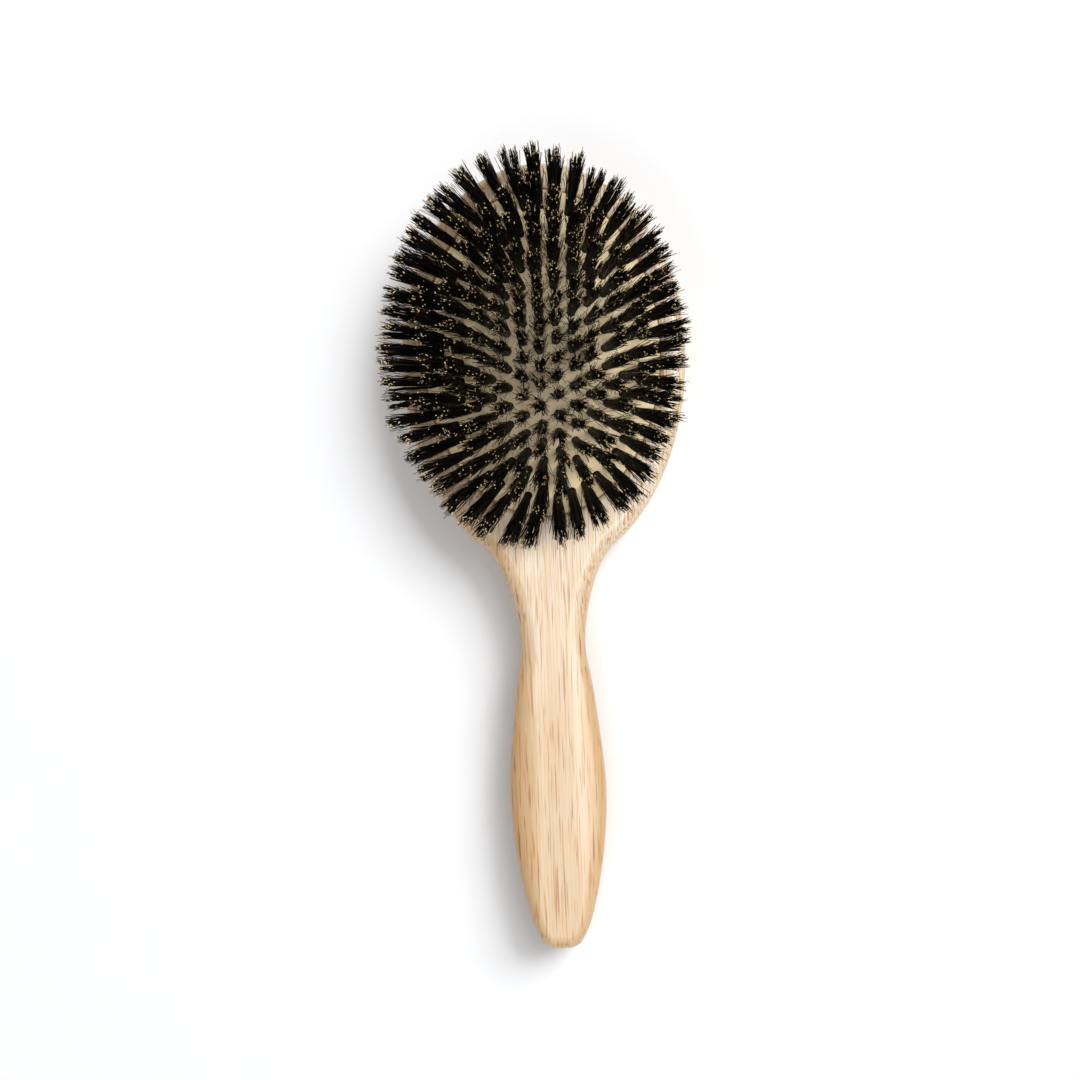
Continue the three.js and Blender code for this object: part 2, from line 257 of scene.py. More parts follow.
def wooden_blank(material):
    right = half_outline()
    left = right * (-1, 1)
    outline = np.concatenate([left, right[1:-1][::-1]])
    tangent = np.roll(outline, -1, 0) - np.roll(outline, 1, 0)
    inward = np.stack([-tangent[:, 1], tangent[:, 0]], -1)
    inward /= np.linalg.norm(inward, axis=1, keepdims=True)
    y = outline[:, 1]
    steps = np.radians(np.linspace(90, 0, 12))
    rings = []
    for turn in steps:
        inset = along_body(y, BACK_EDGE_WIDTHS) * (1 - math.cos(turn))
        z = back_face(y) + along_body(y, BACK_EDGE_HEIGHTS) * (1 - math.sin(turn))
        rings.append(np.column_stack([outline + inward * inset[:, None], z]))
    for turn in steps[::-1]:
        inset = along_body(y, UPPER_EDGE_WIDTHS) * (1 - math.cos(turn))
        z = upper_face(y) - along_body(y, UPPER_EDGE_HEIGHTS) * (1 - math.sin(turn))
        rings.append(np.column_stack([outline + inward * inset[:, None], z]))
    size = len(outline)
    far = len(right) - 1
    i = np.arange(1, far - 1)
    ladder = np.stack([i, i + 1, size - i - 1, size - i], -1)
    ends = np.array([[0, 1, size - 1], [far - 1, far, far + 1]])
    last = (len(rings) - 1) * size
    faces = [loop_faces(len(rings), size), ladder[:, ::-1], ends[:, ::-1], last + ladder, last + ends]
    return add_mesh("wooden_body", in_frame(np.concatenate(rings)), faces, [material])


def pocket_cutter():
    r = POCKET[0]
    arc = np.radians(np.linspace(0, 90, 7))
    floor = [(r - 1.5 + 1.5 * math.sin(a), POCKET_FLOOR + 1.5 * (1 - math.cos(a))) for a in arc]
    lip = [(r + LIP_RADIUS * (1 - math.cos(a)), WOOD_TOP - LIP_RADIUS * (1 - math.sin(a))) for a in arc]
    profile = [
        (0, POCKET_FLOOR), *floor,
        (r, GROOVE_LOW), (r + GROOVE_DEPTH, GROOVE_LOW),
        (r + GROOVE_DEPTH, GROOVE_HIGH), (r, GROOVE_HIGH), *lip,
        (r + LIP_RADIUS, WOOD_TOP + 2), (0, WOOD_TOP + 2),
    ]
    return oval_turned("pocket_cutter", profile, 240, [])


def make_wooden_body(material):
    body = wooden_blank(material)
    cut(body, pocket_cutter())
    set_shading(body, 35)
    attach(body, BODY)
    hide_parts("handle_body")
    return body


# ---- The dome and where the tufts stand on it ----
def dome_height(reach):
    return WOOD_TOP + DOME_RISE * (1 - np.clip(reach, 0, 1) ** DOME_POWER)


def dome_points(plan):
    reach = np.hypot(*(plan / POCKET).T)
    return np.column_stack([plan, dome_height(reach)])


def dome_normals(plan):
    reach = np.maximum(np.hypot(*(plan / POCKET).T), 1e-6)
    fall = DOME_RISE * DOME_POWER * reach ** (DOME_POWER - 2)
    normals = np.column_stack([fall[:, None] * plan / POCKET**2, np.ones(len(plan))])
    return normals / np.linalg.norm(normals, axis=1, keepdims=True)


def ring_angles():
    fine = np.linspace(0, 2 * np.pi, 8001)
    x, y = RING[0] * np.cos(fine), RING[1] * np.sin(fine)
    run = np.concatenate([[0], np.cumsum(np.hypot(np.diff(x), np.diff(y)))])
    return np.interp((np.arange(RING_TUFTS) + RING_PHASE) / RING_TUFTS * run[-1], run, fine)


def tuft_rows():
    half = RING - RING_CLEARANCE
    side = int(half[0] // ROW_PITCH)
    rows = []
    for i in range(-side, side + 1):
        x = i * ROW_PITCH
        reach = half[1] * math.sqrt(1 - (x / half[0]) ** 2)
        shift = 0.5 if i % 2 else 0.0
        j = np.arange(math.ceil(-reach / TUFT_PITCH - shift), math.floor(reach / TUFT_PITCH - shift) + 1)
        rows.append(np.column_stack([np.full(len(j), x), (j + shift) * TUFT_PITCH]))
    return rows


def tuft_groups():
    """Plan points of the tufts in each CAD node, by the end of the node's name."""
    groups = {f"row_{i + 1:02d}": row for i, row in enumerate(tuft_rows())}
    angles = ring_angles()
    per_arc = RING_TUFTS // 4
    for i, name in enumerate(("top_right", "top_left", "bottom_left", "bottom_right")):
        turns = angles[i * per_arc : (i + 1) * per_arc]
        groups[f"arc_{name}"] = np.column_stack([RING[0] * np.cos(turns), RING[1] * np.sin(turns)])
    return groups


def tuft_directions(plan):
    reach = np.hypot(*(plan / RING).T)
    lean = np.radians(LEAN_LINEAR * reach + LEAN_CURVED * reach**LEAN_POWER)
    out = plan / RING**2
    out /= np.maximum(np.linalg.norm(out, axis=1, keepdims=True), 1e-9)
    direction = np.column_stack([out * np.sin(lean)[:, None], np.cos(lean)])
    direction[:, 0] += math.radians(SWAY) * (1 - 2 * np.minimum(reach, 1) ** 2)
    return direction / np.linalg.norm(direction, axis=1, keepdims=True)


# ---- The rubber cushion ----
CUSHION_GAP = 0.25  # between the dome's side and the pocket's wall
WALL_INSET = 2.2  # of the cushion's inner wall from the pocket's wall
BEAD_GAP = 0.3  # between the bead and its groove
BEAD_ROUNDING = 0.6
DOME_STEPS = 75
EDGE_ROLL = 1.4  # how far in from its side the dome's edge starts to roll down
EDGE_DROP = 0.6  # how far below the wood's face the roll ends
DIP_DEPTH, DIP_RADIUS = 0.42, 1.75  # of the rubber where a tuft pulls it down
SWELL = 0.1  # of the rubber between the tufts
WAVE = 0.07  # of its uneven surface


def cushion_profile():
    """(radius, z) points from under the dome, round the bead and up over the dome."""
    outer, inner = POCKET[0] - CUSHION_GAP, POCKET[0] - WALL_INSET
    bead, bead_top = POCKET[0] + GROOVE_DEPTH - BEAD_GAP, GROOVE_HIGH - BEAD_GAP
    reach = (np.arange(DOME_STEPS + 1) / DOME_STEPS) ** 0.85
    top = np.column_stack([outer * reach, dome_height(reach)])
    # The dome's edge rolls down into the pocket.
    inside = top[:, 0] < outer - EDGE_ROLL
    fall = top[inside][-1, 1] - WOOD_TOP + EDGE_DROP
    bend = np.radians(np.linspace(12, 90, 8))
    edge = np.column_stack([
        outer - EDGE_ROLL + EDGE_ROLL * np.sin(bend),
        WOOD_TOP - EDGE_DROP + fall * np.cos(bend),
    ])
    under_reach = reach[::2]
    under_height = dome_height(under_reach * inner / POCKET[0]) - MEMBRANE
    under = np.column_stack([inner * under_reach, under_height])
    ring = [
        (inner, BEAD_LOW + 0.4), (inner + 0.5, BEAD_LOW),
        (bead - BEAD_ROUNDING, BEAD_LOW), (bead, BEAD_LOW + BEAD_ROUNDING),
        (bead, bead_top - BEAD_ROUNDING), (bead - BEAD_ROUNDING, bead_top), (outer, bead_top),
    ]
    return np.concatenate([under, ring, edge[::-1], top[inside][::-1]])


def make_cushion(material, feet):
    cushion = oval_turned("cushion_dome", cushion_profile(), 360, [material])
    mesh = cushion.data
    points = np.zeros(len(mesh.vertices) * 3)
    mesh.vertices.foreach_get("co", points)
    points = points.reshape(-1, 3)
    plan = points[:, :2] / MM - (0, HEAD_Y)
    # Each tuft pulls the rubber down a little where it stands, and the rubber swells between them.
    nearest = np.full(len(plan), 1e9)
    for foot in feet:
        nearest = np.minimum(nearest, np.hypot(*(plan - foot).T))
    reach = np.hypot(*(plan / POCKET).T)
    on_dome = (points[:, 2] / MM > WOOD_TOP - 1) & (reach < 0.97)
    sink = DIP_DEPTH * np.exp(-((nearest / DIP_RADIUS) ** 2)) - SWELL
    wave = WAVE * np.sin(plan[:, 0] * 1.9 + 1.3 * np.sin(plan[:, 1] * 0.7)) * np.sin(plan[:, 1] * 1.6)
    points[:, 2] += np.where(on_dome, (wave - sink) * (1 - smoothstep(reach, 0.9, 0.97)), 0) * MM
    mesh.vertices.foreach_set("co", points.ravel())
    cut(cushion, hole_cutter(feet))
    set_shading(cushion, 50)
    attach(cushion, BODY)
    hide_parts("rubber_cushion")
    return cushion


def hole_cutter(feet):
    """One short peg for each tuft, along its direction, through the membrane."""
    around = np.arange(HOLE_SIDES)
    turn = 2 * np.pi * around / HOLE_SIDES
    vertices, faces, caps = [], [], []
    for foot, direction in zip(dome_points(feet), tuft_directions(feet)):
        u, v = cross_axes(direction)
        circle = HOLE_RADIUS * (np.outer(np.cos(turn), u) + np.outer(np.sin(turn), v))
        first = len(vertices) * HOLE_SIDES
        for along in (-MEMBRANE - 1.6, 1.6):
            vertices.append(foot + direction * along + circle)
        faces.append(loop_faces(2, HOLE_SIDES, first))
        caps.append([first + around[::-1], first + HOLE_SIDES + around])
    caps = np.array(caps).reshape(-1, HOLE_SIDES)
    return add_mesh("hole_cutter", in_frame(np.concatenate(vertices)), [np.concatenate(faces), caps], [])


# ---- Bristles ----
STRANDS = 160  # in one tuft, give or take COUNT_SPREAD
COUNT_SPREAD = 8
STRAND_RADIUS = 0.102
ROOT_RADIUS = 1.14  # of a tuft where it leaves the rubber
TIP_SPREAD = (1.6, 2.1)  # how much wider its tip is, in the middle and in the ring
CLUMPS = 5  # into which a tuft's tip falls
WANDER = 0.5  # of a whole tuft's tip from where it should stand
STRAY_SHARE = 0.34  # of strands that turn away from their tuft, and how far they go
STRAY_REACH = (0.4, 2.8)
RING_STRAYS = 0.65  # their reach in the ring against the middle
SHORT_SHARE = 0.3  # of strands that end lower than the rest
BOW = 0.3  # by which a strand bends sideways halfway up
PALE_TIP_SHARE = 0.18
PALE_STRAND_SHARE = 0.004
# Stations along a strand above the rubber, and its relative radius at every station from the fold up.
FREE_STATIONS = (0.0, 0.28, 0.55, 0.79, 0.975, 1.0)
TAPER = np.array([1.0, 1.0, 1.0, 1.0, 1.0, 1.0, 1.0, 0.92, 0.88])
SPLIT_FLARE = 1.2  # of a pale split end against a plain tip


def cross_axes(direction):
    """Two unit vectors square to a direction, the first lying across the brush."""
    u = np.cross((0.0, 1.0, 0.0), direction)
    u /= np.linalg.norm(u)
    return u, np.cross(direction, u)


def disc_points(rng, count, radius):
    angle = rng.uniform(0, 2 * np.pi, count)
    reach = radius * np.sqrt(rng.uniform(0, 1, count))
    return np.column_stack([reach * np.cos(angle), reach * np.sin(angle)])


def tuft_tips(root, spread, rng):
    """Where strands end across the tuft: splayed and drawn together in clumps."""
    count = len(root)
    tip = root * spread * rng.uniform(0.8, 1.2, (count, 1)) + rng.normal(0, 0.3, (count, 2))
    clumps = disc_points(rng, CLUMPS, ROOT_RADIUS * spread)
    nearest = np.argmin(np.linalg.norm(tip[:, None] - clumps[None], axis=2), axis=1)
    return tip + (clumps[nearest] - tip) * rng.uniform(0.25, 0.75, (count, 1))


def strand_strays(tip, rng):
    """How far each strand turns away from its tuft at the tip: most don't."""
    count = len(tip)
    away = tip + rng.normal(0, 0.7, (count, 2))
    away /= np.maximum(np.linalg.norm(away, axis=1, keepdims=True), 1e-6)
    stray = rng.uniform(0, 1, count) < STRAY_SHARE
    return away * np.where(stray, rng.uniform(*STRAY_REACH, count), 0)[:, None]


def strand_lengths(root, rng):
    count = len(root)
    reach = np.linalg.norm(root, axis=1) / ROOT_RADIUS
    length = TUFT_LENGTH * (1.03 - 0.05 * reach**2) * rng.normal(1.0, 0.034, count)
    short = rng.uniform(0, 1, count) < SHORT_SHARE
    return np.where(short, length * rng.uniform(0.55, 0.96, count), np.minimum(length, TUFT_LENGTH * 1.08))


def strand_paths(foot, direction, rng):
    """Centre lines of a tuft's strands: an array [strand, station, xyz], in millimetres."""
    outward = min(np.hypot(*(foot[:2] / RING)), 1) ** 2
    spread = TIP_SPREAD[0] + (TIP_SPREAD[1] - TIP_SPREAD[0]) * outward
    u, v = cross_axes(direction)
    count = STRANDS + int(rng.integers(-COUNT_SPREAD, COUNT_SPREAD + 1))
    root = disc_points(rng, count, ROOT_RADIUS)
    tip = tuft_tips(root, spread, rng)
    wander = rng.normal(0, WANDER, 2)
    stray = strand_strays(tip, rng) * (1 - (1 - RING_STRAYS) * outward)
    length = strand_lengths(root, rng)
    bow = rng.normal(0, BOW, (count, 2))
    # Under the rubber the strands close in on the wire, pass it on both sides and meet below it.
    side = np.where(root[:, 0] > 0, 1.0, -1.0)
    hidden = [
        (-WIRE_DEPTH - 0.62, np.column_stack([side * 0.06, root[:, 1] * 0.55])),
        (-WIRE_DEPTH, np.column_stack([side * (WIRE_RADIUS + 0.13), root[:, 1] * 0.6])),
        (-MEMBRANE, root * 0.9),
    ]
    stations = [foot + along * direction + offset[:, :1] * u + offset[:, 1:] * v for along, offset in hidden]
    for t in FREE_STATIONS:
        offset = root + (tip - root) * t**1.05 + wander * t**1.6 + stray * t**2
        offset = offset + bow * math.sin(math.pi * t)
        stations.append(foot + (length * t)[:, None] * direction + offset[:, :1] * u + offset[:, 1:] * v)
    return np.stack(stations, 1)


def tube_mesh(paths, radii, rng):
    """Three-sided tapering tubes along many paths at once: vertices, their side quads and end triangles."""
    count, points, _ = paths.shape
    tangent = np.gradient(paths, axis=1)
    tangent /= np.linalg.norm(tangent, axis=2, keepdims=True)
    helper = np.where(np.abs(tangent[..., :1]) > 0.8, (0.0, 1.0, 0.0), (1.0, 0.0, 0.0))
    u = np.cross(tangent, helper)
    u /= np.linalg.norm(u, axis=2, keepdims=True)
    v = np.cross(tangent, u)
    turn = 2 * np.pi * (np.arange(3)[None, :] / 3 + rng.uniform(0, 1, (count, 1)))
    ring = u[:, :, None] * np.cos(turn)[:, None, :, None] + v[:, :, None] * np.sin(turn)[:, None, :, None]
    vertices = paths[:, :, None] + ring * radii[:, :, None, None]
    shift = (np.arange(count) * points * 3)[:, None, None]
    sides = (loop_faces(points, 3)[None] + shift).reshape(-1, 4)
    ends = (np.array([[2, 1, 0], np.arange(3) + 3 * (points - 1)])[None] + shift).reshape(-1, 3)
    return vertices.reshape(-1, 3), sides, ends


def make_tufts(name, feet, materials, seed):
    rng = np.random.default_rng(seed)
    base, direction = dome_points(feet), tuft_directions(feet)
    paths = np.concatenate([strand_paths(b, d, rng) for b, d in zip(base, direction)])
    count, points, _ = paths.shape
    # Split ends are pale and a little flared over their last stretch. A few strands are pale all along.
    pale_tip = rng.uniform(0, 1, count) < PALE_TIP_SHARE
    pale_all = rng.uniform(0, 1, count) < PALE_STRAND_SHARE
    radii = STRAND_RADIUS * rng.uniform(0.75, 1.2, (count, 1)) * TAPER
    radii[pale_tip, -2:] *= SPLIT_FLARE
    vertices, sides, ends = tube_mesh(paths, radii, rng)
    tufts = add_mesh(f"bristles_{name}", in_frame(vertices), [sides, ends], materials)
    span = np.repeat(np.arange(points - 1), 3)
    side_slot = pale_all[:, None] | (pale_tip[:, None] & (span == points - 2)[None])
    end_slot = np.column_stack([pale_all, pale_tip | pale_all])
    slots = np.concatenate([side_slot.ravel(), end_slot.ravel()]).astype(np.int32)
    tufts.data.polygons.foreach_set("material_index", slots)
    # How dark a strand is, and how far up the tuft a point lies, for the material.
    free = np.concatenate([np.zeros(points - len(FREE_STATIONS)), FREE_STATIONS])
    tone = np.repeat(rng.uniform(0, 1, count), points * 3)
    height = np.tile(np.repeat(free, 3), count)
    for label, values in (("tone", tone), ("height", height)):
        layer = tufts.data.attributes.new(label, "FLOAT", "POINT")
        layer.data.foreach_set("value", values.astype(np.float32))
    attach(tufts, FIELD)
    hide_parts(f"tuft_{name}")


# ---- Wires and the liner under the cushion ----
ARC_OVERHANG = 0.35  # of the tufts' spacing, by which a wire of the ring runs past its last tufts
WIRE_SIDES = 14


def wire_plan(name, feet):
    """Plan points of a group's wire, which runs a little past its first and last tufts."""
    steps = np.linspace(0, 1, 61)
    if name.startswith("row"):
        low, high = feet[0, 1] - FOLD_OVERHANG, feet[-1, 1] + FOLD_OVERHANG
        return np.column_stack([np.full(len(steps), feet[0, 0]), low + (high - low) * steps])
    turns = np.unwrap(np.arctan2(feet[:, 1] / RING[1], feet[:, 0] / RING[0]))
    low = turns[0] - ARC_OVERHANG * (turns[1] - turns[0])
    high = turns[-1] + ARC_OVERHANG * (turns[-1] - turns[-2])
    turn = low + (high - low) * steps
    return np.column_stack([RING[0] * np.cos(turn), RING[1] * np.sin(turn)])


def make_wire(name, feet, material):
    plan = wire_plan(name, feet)
    up = dome_normals(plan)
    middle = dome_points(plan) - WIRE_DEPTH * up
    along = np.gradient(middle, axis=0)
    along /= np.linalg.norm(along, axis=1, keepdims=True)
    across = np.cross(along, up)
    # The cut ends are slightly rounded.
    radius = np.full(len(plan), WIRE_RADIUS)
    radius[[0, -1]] = 0.7 * WIRE_RADIUS
    around = np.arange(WIRE_SIDES)
    turn = 2 * np.pi * around / WIRE_SIDES
    ring = across[:, None] * np.cos(turn)[None, :, None] + up[:, None] * np.sin(turn)[None, :, None]
    vertices = (middle[:, None] + ring * radius[:, None, None]).reshape(-1, 3)
    last = (len(plan) - 1) * WIRE_SIDES
    caps = np.array([around[::-1], last + around])
    faces = loop_faces(len(plan), WIRE_SIDES)
    wire = add_mesh(f"steel_wire_{name}", in_frame(vertices), [faces[:, ::-1], caps[:, ::-1]], [material])
    set_shading(wire, 40)
    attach(wire, FIELD)
    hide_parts(f"drawing_wire_{name.removeprefix('row_').removeprefix('arc_')}")


def liner_height(reach):
    slope = DOME_RISE * DOME_POWER * reach ** (DOME_POWER - 1) / POCKET[0]
    return dome_height(reach) - LINER_DEPTH * np.hypot(1, slope)


def make_liner(material):
    reach = np.linspace(0, LINER_REACH, 60)
    radius = POCKET[0] * reach
    top = np.column_stack([radius, liner_height(reach)])
    under = top - (0, LINER_THICKNESS)
    edge = top[-1] + np.array([(0.12, -0.15), (0.2, -0.4), (0.12, -0.65)]) * LINER_THICKNESS / 0.8
    liner = oval_turned("felt_liner", [*under, *edge[::-1], *top[::-1]], 240, [material])
    set_shading(liner, 60)
    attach(liner, FIELD)
    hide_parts("backing_liner")


# ---- Materials ----
def new_material(name):
    material = bpy.data.materials.new(name)
    material.use_nodes = True
    tree = material.node_tree
    return material, tree, tree.nodes["Principled BSDF"]


def node(tree, kind, **values):
    """A shader node with its properties and, by input name, its values set."""
    made = tree.nodes.new(kind)
    for key, value in values.items():
        if hasattr(made, key):
            setattr(made, key, value)
        else:
            made.inputs[key.replace("_", " ")].default_value = value
    return made


def ramp(tree, source, stops, interpolation="LINEAR"):
    made = tree.nodes.new("ShaderNodeValToRGB")
    made.color_ramp.interpolation = interpolation
    elements = made.color_ramp.elements
    while len(elements) < len(stops):
        elements.new(0.5)
    for element, (position, colour) in zip(elements, stops):
        element.position = position
        element.color = (*colour, 1.0) if len(colour) == 3 else colour
    tree.links.new(source, made.inputs["Fac"])
    return made.outputs["Color"]


def mix(tree, factor, a, b, blend="MIX"):
    made = tree.nodes.new("ShaderNodeMix")
    made.data_type = "RGBA"
    made.blend_type = blend
    for socket, value in ((made.inputs[0], factor), (made.inputs[6], a), (made.inputs[7], b)):
        if isinstance(value, bpy.types.NodeSocket):
            tree.links.new(value, socket)
        elif isinstance(value, (int, float)):
            socket.default_value = value
        else:
            socket.default_value = (*value, 1.0)
    return made.outputs[2]


def stretched(tree, scale, offset=(0.0, 0.0, 0.0), turn=(0.0, 0.0, 0.0)):
    """Object coordinates scaled by axis, then turned, which hides the lattice of the noise."""
    place = tree.nodes.new("ShaderNodeTexCoord")
    mapping = tree.nodes.new("ShaderNodeMapping")
    mapping.inputs["Scale"].default_value = scale
    mapping.inputs["Location"].default_value = offset
    mapping.inputs["Rotation"].default_value = turn
    tree.links.new(place.outputs["Object"], mapping.inputs["Vector"])
    return mapping.outputs["Vector"]


def noise(tree, vector, scale, detail=3.0, roughness=0.55, distortion=0.0):
    made = node(tree, "ShaderNodeTexNoise", Scale=scale, Detail=detail, Roughness=roughness)
    made.inputs["Distortion"].default_value = distortion
    tree.links.new(vector, made.inputs["Vector"])
    return made.outputs["Fac"]


def bump(tree, height, strength, distance, below=None):
    made = node(tree, "ShaderNodeBump", Strength=strength, Distance=distance)
    tree.links.new(height, made.inputs["Height"])
    if below is not None:
        tree.links.new(below, made.inputs["Normal"])
    return made.outputs["Normal"]


def mask(tree, source, low, high, strength=1.0):
    """Black up to low, rising to strength at high."""
    return ramp(tree, source, [(low, (0.0, 0.0, 0.0)), (high, (strength, strength, strength))])


def axis_mask(tree, axis, start, end, strength):
    """Nothing at start, rising to strength at end, along an axis of the part; metres."""
    place = tree.nodes.new("ShaderNodeTexCoord")
    split = tree.nodes.new("ShaderNodeSeparateXYZ")
    tree.links.new(place.outputs["Object"], split.inputs["Vector"])
    made = node(tree, "ShaderNodeMapRange", From_Min=start, From_Max=end, To_Min=0.0, To_Max=strength)
    tree.links.new(split.outputs[axis], made.inputs["Value"])
    return made.outputs["Result"]


def growth_lines(tree, pitch, wander, low, high, strength):
    """Lines of the yearly rings along Y, about one pitch (metres) apart."""
    waves = node(tree, "ShaderNodeTexWave", bands_direction="X", Scale=1.0, Distortion=wander, Detail=3.0)
    waves.inputs["Detail Scale"].default_value = 1.0
    per_metre = math.pi / 10 / pitch
    tree.links.new(stretched(tree, (per_metre, 7.0, 0.6 * per_metre)), waves.inputs["Vector"])
    return mask(tree, waves.outputs["Fac"], low, high, strength)


GRAIN_TURN = (0.5, 0.4, 0.7)  # radians
# Scale and offset of the noise, the values over which it shows, its strength and its colour.
GRAIN_DASHES = (
    ((1600.0, 58.0, 1100.0), (0.4, 0.1, 0.0), 0.52, 0.62, 0.45, (0.56, 0.33, 0.13)),
    ((1700.0, 60.0, 1150.0), (0.31, 0.17, 0.05), 0.58, 0.64, 0.85, (0.46, 0.225, 0.07)),
    ((1800.0, 50.0, 1200.0), (0.77, 0.43, 0.21), 0.64, 0.69, 0.85, (0.28, 0.115, 0.03)),
)


# Redder wood on the handle; redder, darker rounded edges, partly where the grain turns and partly painted
# shade where they turn from the light; and painted shade on the board's left side, away from the lamps on
# the right: the axis, where the tint starts and where it is full in metres, its strength and its colour.
WOOD_TINTS_AND_SHADE = (
    ("Y", 0.01, -0.05, 1.0, (0.86, 0.74, 0.60)),
    # Partly the grain turning over the rounded edges, partly painted shade on them.
    ("Z", (WOOD_TOP - 1.2) * MM, (WOOD_TOP - 3.4) * MM, 1.0, (0.92, 0.78, 0.61)),
    # Painted shade on the board's left side, away from the lamps on the right.
    ("X", -0.006, -0.013, 0.8, (0.90, 0.73, 0.54)),
)
WHITE = (1.0, 1.0, 1.0)


def wood_material():
    material, tree, shader = new_material("varnished_oak")
    # Broad bands run the length of the board.
    bands = noise(tree, stretched(tree, (150.0, 6.0, 90.0)), 1.0, 3.0, 0.5)
    colour = ramp(tree, bands, [
        (0.34, (0.65, 0.54, 0.39)), (0.5, (0.685, 0.595, 0.455)), (0.66, (0.71, 0.635, 0.515)),
    ])
    # The handle's tint, then the edges' tint with painted shade, then the painted shade on the left side.
    for axis, start, end, strength, tint in WOOD_TINTS_AND_SHADE:
        where = axis_mask(tree, axis, start, end, strength)
        colour = mix(tree, where, colour, mix(tree, 1.0, colour, tint, "MULTIPLY"))
    # Faint ring lines a millimetre apart, then three kinds of short dashes along the grain, each darker.
    lines = growth_lines(tree, pitch=0.0010, wander=2.5, low=0.76, high=0.98, strength=0.65)
    colour = mix(tree, lines, colour, (0.56, 0.35, 0.16))
    for scale, offset, low, high, strength, shade in GRAIN_DASHES:
        pores = noise(tree, stretched(tree, scale, offset, GRAIN_TURN), 1.0, 1.5, 0.45)
        dashes = mask(tree, pores, low, high, strength)
        colour = mix(tree, dashes, colour, shade)
    flecks = noise(tree, stretched(tree, (3600.0, 400.0, 3600.0)), 1.0, 2.0, 0.6)
    fleck_colour = ramp(tree, flecks, [(0.3, (0.80, 0.70, 0.58)), (0.7, WHITE)])
    colour = mix(tree, 0.15, colour, fleck_colour, "MULTIPLY")
    tree.links.new(colour, shader.inputs["Base Color"])
    shader.inputs["Roughness"].default_value = 0.45
    shader.inputs["Coat Weight"].default_value = 0.75
    shader.inputs["Coat Roughness"].default_value = 0.3
    tree.links.new(bump(tree, dashes, 0.25, -0.0001), shader.inputs["Normal"])
    return material


def rubber_material():
    material, tree, shader = new_material("beige_rubber")
    where = stretched(tree, (1.0, 1.0, 1.0))
    cloud = noise(tree, where, 90.0, 4.0, 0.6)
    colour = ramp(tree, cloud, [(0.3, (0.86, 0.67, 0.385)), (0.7, (0.95, 0.77, 0.48))])
    streaks = noise(tree, stretched(tree, (900.0, 160.0, 400.0)), 1.0, 3.0, 0.6, 0.6)
    streak_colour = ramp(tree, streaks, [(0.35, (0.72, 0.68, 0.62)), (0.6, WHITE)])
    colour = mix(tree, 0.3, colour, streak_colour, "MULTIPLY")
    tree.links.new(colour, shader.inputs["Base Color"])
    shader.inputs["Roughness"].default_value = 0.55
    ripple = bump(tree, streaks, 0.35, 0.0003)
    pimples = bump(tree, noise(tree, where, 2500.0, 2.0), 0.2, 0.00008, ripple)
    tree.links.new(pimples, shader.inputs["Normal"])
    return material


def bristle_material():
    """Near-black bristle, browner where it leaves the rubber, with some lighter strands."""
    material, tree, shader = new_material("boar_bristle")
    tone = node(tree, "ShaderNodeAttribute", attribute_name="tone").outputs["Fac"]
    height = node(tree, "ShaderNodeAttribute", attribute_name="height").outputs["Fac"]
    free = ramp(tree, tone, [
        (0.0, (0.0022, 0.0023, 0.0032)), (0.75, (0.0045, 0.0042, 0.0045)), (0.96, (0.016, 0.012, 0.008)),
        (1.0, (0.10, 0.06, 0.026)),
    ])
    root = ramp(tree, tone, [(0.0, (0.008, 0.0072, 0.0065)), (1.0, (0.026, 0.021, 0.015))])
    low_down = ramp(tree, height, [(0.02, WHITE), (0.4, (0.0, 0.0, 0.0))])
    colour = mix(tree, low_down, free, root)
    mottle = noise(tree, stretched(tree, (1.0, 1.0, 1.0)), 700.0, 2.0)
    mottle_colour = ramp(tree, mottle, [(0.35, (0.5, 0.47, 0.44)), (0.65, WHITE)])
    colour = mix(tree, 0.5, colour, mottle_colour, "MULTIPLY")
    tree.links.new(colour, shader.inputs["Base Color"])
    shader.inputs["Roughness"].default_value = 0.4
    shader.inputs["Specular IOR Level"].default_value = 0.12
    return material


def split_end_material():
    material, tree, shader = new_material("pale_split_end")
    spots = noise(tree, stretched(tree, (1.0, 1.0, 1.0)), 400.0, 2.0)
    gold = ramp(tree, spots, [(0.35, (0.85, 0.56, 0.20)), (0.65, (1.0, 0.84, 0.46))])
    tree.links.new(gold, shader.inputs["Base Color"])
    shader.inputs["Roughness"].default_value = 0.5
    return material


def steel_material():
    material, tree, shader = new_material("drawn_steel")
    lines = noise(tree, stretched(tree, (4000.0, 150.0, 4000.0)), 1.0, 2.0)
    colour = ramp(tree, lines, [(0.3, (0.42, 0.41, 0.39)), (0.7, (0.62, 0.6, 0.57))])
    tree.links.new(colour, shader.inputs["Base Color"])
    shader.inputs["Metallic"].default_value = 1.0
    gloss = ramp(tree, lines, [(0.3, (0.28, 0.28, 0.28)), (0.7, (0.45, 0.45, 0.45))])
    tree.links.new(gloss, shader.inputs["Roughness"])
    return material


def felt_material():
    material, tree, shader = new_material("liner_felt")
    fibres = noise(tree, stretched(tree, (1.0, 1.0, 1.0)), 1800.0, 5.0, 0.7, 1.2)
    colour = ramp(tree, fibres, [(0.3, (0.17, 0.12, 0.08)), (0.7, (0.36, 0.28, 0.19))])
    tree.links.new(colour, shader.inputs["Base Color"])
    shader.inputs["Roughness"].default_value = 0.95
    shader.inputs["Sheen Weight"].default_value = 0.3
    tree.links.new(bump(tree, fibres, 0.6, 0.0003), shader.inputs["Normal"])
    return material


# ---- Floor, light and camera ----
def make_floor():
    half = 3.0  # metres
    floor = add_mesh(
        "floor",
        np.array([(-half, -half, 0), (half, -half, 0), (half, half, 0), (-half, half, 0)]),
        np.array([[0, 1, 2, 3]]),
        [floor_material()],
        smooth=False,
    )
    return floor


